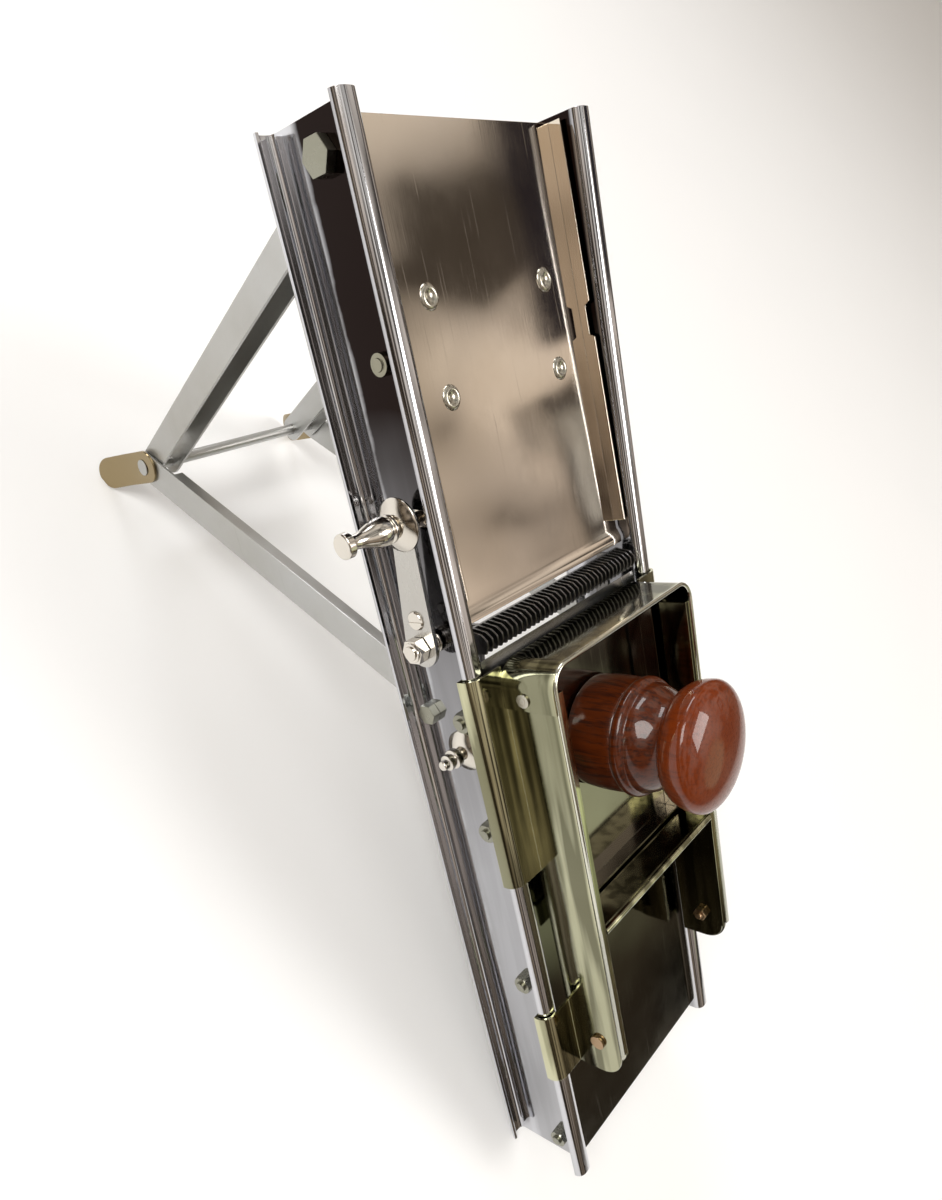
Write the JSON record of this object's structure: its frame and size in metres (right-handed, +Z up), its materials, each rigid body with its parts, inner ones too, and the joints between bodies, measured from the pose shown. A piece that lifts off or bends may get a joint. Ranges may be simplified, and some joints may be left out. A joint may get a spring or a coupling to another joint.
{
  "type": "mandoline slicer",
  "caption": "All-metal hand mandoline on a folding stand, with a hinged run plate, comb and fixed blade, and a sliding hopper carriage with a turned wooden pusher knob.",
  "frame": {"origin": "on the table, under the middle of the whole slicer", "axes": "+Z up from the table, +Y from the low end of the rails towards the high end, +X to the right seen from the low end"},
  "size_m": [0.1442, 0.3832, 0.2313],
  "materials": {
    "rail_steel": "mirror-polished stainless steel sheet",
    "bed_steel": "mirror-polished stainless steel sheet with fine scratches",
    "blade_steel": "ground hardened steel",
    "bolt_steel": "bright stainless fasteners",
    "turned_steel": "turned and polished steel",
    "lever_steel": "satin steel bar",
    "washer_black": "black washer",
    "rivet_steel": "polished rivet heads",
    "stand_steel": "satin steel channel",
    "foot_steel": "polished steel tongue",
    "carriage_steel": "mirror-polished stainless steel sheet",
    "pusher_steel": "mirror-polished stainless steel sheet",
    "knob_wood": "turned hardwood, red-brown gloss lacquer"
  },
  "bodies": {
    "frame": {"left_side_plate": "rail_steel", "right_side_plate": "rail_steel", "lower_plate": "bed_steel", "main_blade": "blade_steel", "blade_rivets": "rivet_steel", "plate_bolts": "bolt_steel", "plate_nuts": "bolt_steel", "guide_studs": "bolt_steel", "pivot_bolts": "bolt_steel", "pivot_nuts": "bolt_steel", "prop_pins": "bolt_steel", "lever_stud": "turned_steel", "lever_stud_nut": "turned_steel", "lever_spring": "turned_steel"},
    "run_plate": {"run_plate": "bed_steel", "plate_stiffener": "bed_steel", "plate_rivets": "rivet_steel", "lift_lug": "bed_steel"},
    "lever": {"thickness_lever": "lever_steel", "lever_screw": "turned_steel", "lever_disc": "turned_steel", "lever_knob": "turned_steel", "lever_washer": "washer_black"},
    "comb": {"comb_shaft": "turned_steel", "comb_disc": "turned_steel", "comb_arms": "blade_steel", "comb_bar": "blade_steel", "comb_teeth": "blade_steel"},
    "legs": {"left_leg": "stand_steel", "right_leg": "stand_steel", "foot_axle": "stand_steel"},
    "struts": {"left_strut": "stand_steel", "right_strut": "stand_steel", "left_foot": "foot_steel", "right_foot": "foot_steel"},
    "carriage": {"left_runner": "carriage_steel", "right_runner": "carriage_steel", "front_wall": "carriage_steel", "back_wall": "carriage_steel", "carriage_rivets": "rivet_steel", "left_guide": "carriage_steel", "right_guide": "carriage_steel", "guide_bolts": "rivet_steel", "latch_clip": "carriage_steel"},
    "pusher": {"pusher_plate": "pusher_steel", "knob_washer": "pusher_steel", "knob_screw": "bolt_steel", "pusher_knob": "knob_wood"}
  },
  "joints": [
    {"name": "leg_fold", "type": "hinge", "parent": "frame", "child": "legs", "pos_m": [0.0115, 0.15638, 0.20973], "axis": [-1, 0, 0], "range_deg": [0, 58.6]},
    {"name": "strut_fold", "type": "hinge", "parent": "legs", "child": "struts", "pos_m": [0.0115, 0.17231, 0.02843], "axis": [1, 0, 0], "range_deg": [0, 113.52]},
    {"name": "run_plate_tilt", "type": "hinge", "parent": "frame", "child": "run_plate", "pos_m": [0.0115, 0.15638, 0.20973], "axis": [1, 0, 0], "range_deg": [-0.8, 2.3]},
    {"name": "lever_turn", "type": "hinge", "parent": "frame", "child": "lever", "pos_m": [-0.039, 0.03018, 0.1373], "axis": [1, 0, 0], "range_deg": [-5.62, 1.99]},
    {"name": "comb_tilt", "type": "hinge", "parent": "frame", "child": "comb", "pos_m": [0.0115, -0.00782, 0.12], "axis": [-1, 0, 0], "range_deg": [0, 12]},
    {"name": "carriage_slide", "type": "slide", "parent": "frame", "child": "carriage", "axis": [0, 0.871, 0.4912], "range_m": [-0.05, 0.13]},
    {"name": "pusher_lift", "type": "slide", "parent": "carriage", "child": "pusher", "axis": [0, -0.4912, 0.871], "range_m": [0, 0.03]}
  ],
  "couplings": [
    {"joint": "strut_fold", "follows": "leg_fold", "ratio": 1.9363},
    {"joint": "lever_turn", "follows": "run_plate_tilt", "ratio": -2.4235}
  ]
}
